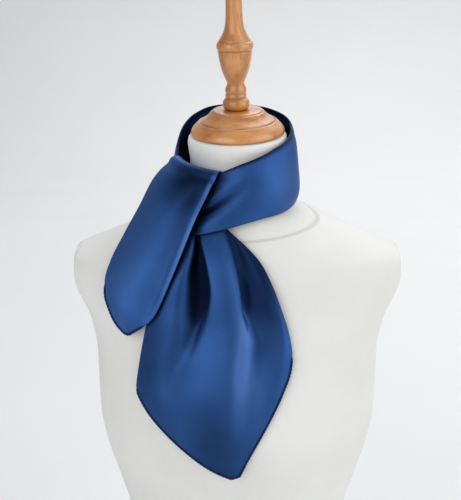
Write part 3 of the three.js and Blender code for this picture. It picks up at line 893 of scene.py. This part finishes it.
def silk_material():
    """Plain navy satin: soft broad sheen, very fine threads on the bias, faint slubs, painted shade in its
    folds and painted highlight where their edges catch the light.
    """
    s = Surface("navy_silk")
    cloth = s.node("UVMap", output=0, uv_map="cloth")
    bias = s.node("Mapping", {"Vector": cloth, "Rotation": (0, 0, math.radians(45))})
    warp = s.node("TexWave", {"Vector": bias, "Scale": 900}, output=1, bands_direction="X")
    weft = s.node("TexWave", {"Vector": bias, "Scale": 520}, output=1, bands_direction="Y")
    streaks = s.node("Mapping", {"Vector": bias, "Scale": (1400, 60, 1)})
    slub = s.node("TexNoise", {"Vector": streaks, "Scale": 1, "Detail": 3}, output=0)
    cloud = s.node("TexNoise", {"Vector": cloth, "Scale": 22, "Detail": 2}, output=0)
    plain = s.mixed(s.ramp(cloud, 0.3, 0.7), NAVY, NAVY_CLOUD)
    open_cloth = s.mixed(s.maths("MULTIPLY", s.ramp(slub, 0.45, 0.75), 0.3), plain, NAVY_SLUB)
    # Painted highlight where hollow is below 0, painted shade in folds where it is above 0
    painted_shading = s.node("Attribute", output=2, attribute_name="painted_shading")
    lit_cloth = s.mixed(s.maths("MULTIPLY", painted_shading, -1), open_cloth, NAVY_LIT)
    colour = s.mixed(s.maths("MULTIPLY", painted_shading, 0.985), lit_cloth, NAVY_PAINTED_SHADE)
    roughness = s.ramp(slub, 0.2, 0.8, 0.46, 0.54)
    threads = s.maths("ADD", s.maths("MULTIPLY", warp, 0.6), s.maths("MULTIPLY", weft, 0.4))
    height = s.maths("ADD", threads, s.maths("MULTIPLY", slub, 0.8))
    bump = s.node("Bump", {"Height": height, "Strength": 0.12, "Distance": 0.00012})
    return s.finish(
        Base_Color=colour, Metallic=0.75, Roughness=roughness, Normal=bump, Specular_IOR_Level=0.1,
    )


def hem_material():
    """The same silk rolled into its hem, denser, with painted shade making it darker along the rolled edge,
    and the marks of its stitches.
    """
    s = Surface("navy_hem")
    place = s.node("TexCoord", output=3)
    pucker = s.node("TexNoise", {"Vector": place, "Scale": 420, "Detail": 2}, output=0)
    colour = s.mixed(pucker, HEM_DARK, HEM_LIGHT)
    bump = s.node("Bump", {"Height": pucker, "Strength": 0.5, "Distance": 0.0003})
    return s.finish(Base_Color=colour, Metallic=0.8, Roughness=0.5, Normal=bump, Specular_IOR_Level=0.15)


def thread_material():
    """Silk thread a little lighter than the hem, with a fine twist."""
    s = Surface("navy_thread")
    place = s.node("TexCoord", output=3)
    twist = s.node("TexNoise", {"Vector": place, "Scale": 1800, "Detail": 1}, output=0)
    colour = s.mixed(twist, THREAD_DARK, THREAD_LIGHT)
    bump = s.node("Bump", {"Height": twist, "Strength": 0.4, "Distance": 0.0001})
    return s.finish(Base_Color=colour, Roughness=0.5, Normal=bump)


def linen_material():
    """Matt off-white cotton stretched over the form, with the faint seam at the foot of its neck."""
    s = Surface("form_cotton")
    place = s.node("TexCoord", output=3)
    apart = s.node("SeparateXYZ", {"Vector": place})
    x, y, z = (apart.node.outputs[k] for k in range(3))
    out = s.maths("SQRT", s.maths("ADD", s.maths("MULTIPLY", x, x), s.maths("MULTIPLY", y, y)))
    seam = s.maths("MULTIPLY_ADD", s.maths("DIVIDE", y, out), SEAM_RISE, SEAM_HEIGHT)
    off_seam = s.ramp(s.maths("ABSOLUTE", s.maths("SUBTRACT", z, seam)), 0.0002, 0.0024)
    weave = s.node("TexVoronoi", {"Vector": place, "Scale": 1600}, output=0)
    slub = s.node("TexNoise", {"Vector": place, "Scale": 380, "Detail": 4}, output=0)
    cloud = s.node("TexNoise", {"Vector": place, "Scale": 9, "Detail": 3}, output=0)
    plain = s.mixed(s.ramp(cloud, 0.3, 0.7), COTTON, COTTON_LIGHT)
    worn = s.mixed(s.maths("MULTIPLY", slub, 0.25), plain, COTTON_SHADE)
    colour = s.mixed(off_seam, COTTON_SHADE, worn)
    height = s.maths("ADD", s.maths("MULTIPLY", weave, 0.25), s.maths("MULTIPLY", slub, 0.5))
    height = s.maths("ADD", height, s.maths("MULTIPLY", off_seam, 1.6))
    bump = s.node("Bump", {"Height": height, "Strength": 0.35, "Distance": 0.0003})
    return s.finish(Base_Color=colour, Roughness=0.88, Normal=bump, Sheen_Weight=0.15)


def wood_material(name, grain):
    """Light turned wood under a satin varnish, with painted shade in its grooves; grain is how fine its
    figure is along each axis.
    """
    s = Surface(name)
    place = s.node("TexCoord", output=3)
    stretched = s.node("Mapping", {"Vector": place, "Scale": grain})
    figure = s.node("TexNoise", {"Vector": stretched, "Scale": 1, "Detail": 5, "Distortion": 0.6}, output=0)
    fleck = s.node("TexNoise", {"Vector": stretched, "Scale": 7, "Detail": 2}, output=0)
    cloud = s.node("TexNoise", {"Vector": place, "Scale": 28, "Detail": 2}, output=0)
    tone = s.mixed(s.ramp(figure, 0.35, 0.68), WOOD, WOOD_DARK)
    tone = s.mixed(s.maths("MULTIPLY", s.ramp(cloud, 0.45, 0.75), 0.5), tone, WOOD_PALE)
    flecked = s.mixed(s.maths("MULTIPLY", s.ramp(fleck, 0.58, 0.72), 0.55), tone, WOOD_FLECK)
    painted_shading = s.node("Attribute", output=2, attribute_name="painted_shading")
    colour = s.mixed(s.maths("MULTIPLY", painted_shading, 0.55), flecked, WOOD_PAINTED_SHADE)
    bump = s.node("Bump", {"Height": figure, "Strength": 0.08, "Distance": 0.0005})
    return s.finish(
        Base_Color=colour, Roughness=s.ramp(figure, 0.3, 0.7, 0.32, 0.42), Normal=bump,
        Specular_IOR_Level=0.8, Coat_Weight=0.8, Coat_Roughness=0.3,
    )


def studio_material():
    """Pale matt paper, very faintly clouded."""
    s = Surface("studio_paper")
    place = s.node("TexCoord", output=3)
    tooth = s.node("TexNoise", {"Vector": place, "Scale": 3, "Detail": 2}, output=0)
    colour = s.mixed(tooth, PAPER, PAPER_LIGHT)
    return s.finish(Base_Color=colour, Roughness=0.9)


# The studio

def make_camera():
    """The photograph's view, looking down a little from 1.1 m before the neck."""
    degrees_down = 15
    data = bpy.data.cameras.new("camera")
    data.sensor_fit = "VERTICAL"
    data.sensor_height = 36
    data.lens = 75.43
    camera = bpy.data.objects.new("camera", data)
    camera.location = (-0.00735, -1.0946, 0.815)
    camera.rotation_euler = (math.radians(90 - degrees_down), 0, 0)
    bpy.context.scene.collection.objects.link(camera)
    bpy.context.scene.camera = camera


def make_studio():
    """Plain pale floor that curves up into a wall, and soft light from the right."""
    front, back, bend, top, half_width = -4000, 2900, 700, 7000, 9000
    sweep = [(front, 0), (back, 0)]
    for turn in np.linspace(0.1, math.pi / 2, 14):
        sweep.append((back + bend * math.sin(turn), bend - bend * math.cos(turn)))
    sweep.append((back + bend, top))
    points = [(x, y, z) for y, z in sweep for x in (-half_width, half_width)]
    faces = [face[::-1] for face in quads(len(sweep), 2, False)]
    make_mesh("studio_floor", points, faces, studio_material())
    world = bpy.data.worlds.new("studio")
    world.use_nodes = True
    sky = world.node_tree.nodes["Background"]
    sky.inputs["Color"].default_value = SKY
    sky.inputs["Strength"].default_value = 0.3
    bpy.context.scene.world = world
    # Each lamp's place and where it points in metres, its size and its power in watts
    lamps = [
        ("key", (1.55, -0.75, 1.2), (0, -0.02, 0.55), 1.9, 18),
        ("fill", (-1.0, -1.6, 1.2), (0, -0.02, 0.5), 1.6, 16),
        ("top", (0.2, 0.2, 2.1), (0, 0, 0.6), 1.0, 4),
        ("backdrop", (0.9, 2.3, 3.0), (0.9, 2.5, 0), 3, 68),
    ]
    for name, where, towards, size, power in lamps:
        light = bpy.data.lights.new(name, "AREA")
        light.size = size
        light.energy = power
        lamp = bpy.data.objects.new(name, light)
        lamp.location = where
        aim = np.array(towards) - np.array(where)
        flat = math.hypot(aim[0], aim[1])
        lamp.rotation_euler = (math.atan2(flat, -aim[2]), 0, math.atan2(-aim[0], aim[1]))
        bpy.context.scene.collection.objects.link(lamp)


def main():
    """The scarf and the form in place of the CAD's nodes, in a plain studio."""
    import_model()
    bpy.context.scene.view_settings.view_transform = "Standard"
    make_camera()
    make_studio()
    silk, thread = silk_material(), thread_material()
    loop = make_loop(silk)
    short_tail, short_grid, short_half = make_short_tail(silk)
    long_tail, long_grid, long_half = make_long_tail(silk)
    short_rows = corner_rows(short_grid, SHORT_TAIL_HEM_TOPS)
    long_rows = corner_rows(long_grid, LONG_TAIL_HEM_TOPS)
    short_lines = stitch_lines(short_grid, short_half, short_rows)
    long_lines = stitch_lines(long_grid, long_half, long_rows)
    short_stitches = make_stitches("short_tail_stitches", short_lines, thread)
    long_stitches = make_stitches("long_tail_stitches", long_lines, thread)
    hem = hem_material()
    short_hem = make_hem("short_tail_hem", *hem_path(short_grid, *short_rows), hem)
    long_hem = make_hem("long_tail_hem", *hem_path(long_grid, *long_rows), hem)
    cover = make_torso(linen_material())
    cap_wood = wood_material("cap_wood", (12, 70, 90))
    cap = make_turned("turned_neck_cap", CAP_PROFILE, CAP_SHIFT, cap_wood)
    finial_wood = wood_material("finial_wood", (90, 90, 14))
    finial = make_turned("turned_finial", FINIAL_PROFILE, FINIAL_SHIFT, finial_wood)
    replaced = [
        (cover, "form_torso", "linen"), (cap, "form_neck_cap", "wood"), (finial, "form_finial", "wood"),
        (loop, "scarf_neck_loop", "silk"), (short_tail, "scarf_short_tail", "silk"),
        (long_tail, "scarf_long_tail", "silk"),
    ]
    for piece, node, slot in replaced:
        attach(piece, "root")
        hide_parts(node)
    for piece in (short_stitches, long_stitches, short_hem, long_hem):
        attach(piece, "root")


main()
